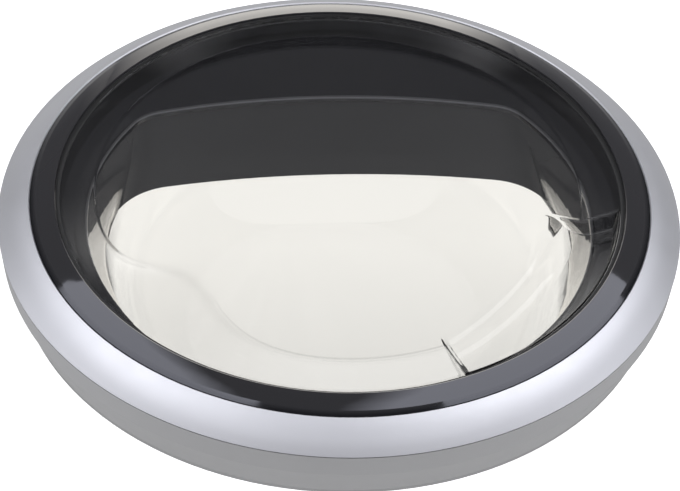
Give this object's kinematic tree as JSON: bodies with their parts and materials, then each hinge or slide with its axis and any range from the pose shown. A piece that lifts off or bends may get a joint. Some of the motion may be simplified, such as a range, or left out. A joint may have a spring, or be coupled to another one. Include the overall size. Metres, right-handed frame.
{
  "type": "washing machine door",
  "caption": "Round front-loader washing machine door with silver rim, black bezel, clear dished window with grip pocket, glass bowl, hinge and sprung latch hook.",
  "frame": {"origin": "centre of the flat rear face of the glass bowl, on the door's round axis", "axes": "+Z out of the front face, +Y to the top of the fitted door, +X to the grip and latch side, hinge at -X"},
  "size_m": [0.48, 0.48, 0.1315],
  "materials": {
    "silver_paint": "satin metallic silver paint",
    "grey_plastic": "satin mid grey",
    "black_gloss": "polished black",
    "shroud_gloss": "polished black",
    "clear_cover": "clear polished plastic",
    "bowl_glass": "clear pressed glass",
    "seal_rubber": "matte",
    "rear_plastic": "fine grained grey",
    "hinge_steel": "zinc plated",
    "screw_steel": "zinc plated",
    "pin_steel": "bright ground",
    "bush_plastic": "plain",
    "latch_plastic": "plain",
    "hook_metal": "tumbled zinc casting"
  },
  "bodies": {
    "hinge_base": {"hinge_bracket": "hinge_steel", "hinge_pin": "pin_steel", "pin_clip": "pin_steel"},
    "door": {"trim_ring": "silver_paint", "outer_frame": "grey_plastic", "bezel_ring": "black_gloss", "inner_shroud": "shroud_gloss", "cover_gasket": "seal_rubber", "window_cover": "clear_cover", "bezel_screws": "screw_steel", "shroud_screws": "screw_steel", "glass_bowl": "bowl_glass", "bowl_seal": "seal_rubber", "rear_frame": "rear_plastic", "frame_screws": "screw_steel", "hinge_leaf": "hinge_steel", "hinge_stiffener": "hinge_steel", "leaf_screws": "screw_steel", "hinge_bush_upper": "bush_plastic", "hinge_bush_lower": "bush_plastic", "latch_housing": "latch_plastic", "latch_screws": "screw_steel", "latch_pin": "pin_steel", "latch_spring": "pin_steel"},
    "hook": {"latch_hook": "hook_metal"}
  },
  "joints": [
    {"name": "door_swing", "type": "hinge", "parent": "hinge_base", "child": "door", "pos_m": [-0.213, 0, 0.052], "axis": [0, -1, 0], "range_deg": [0, 125]},
    {"name": "hook_pivot", "type": "hinge", "parent": "door", "child": "hook", "pos_m": [0.205, 0, 0.077], "axis": [0, 1, 0], "range_deg": [0, 12], "stiffness_Nm_per_rad": 0.8, "springref_deg": -11.46, "deforming": ["latch_spring"]}
  ]
}
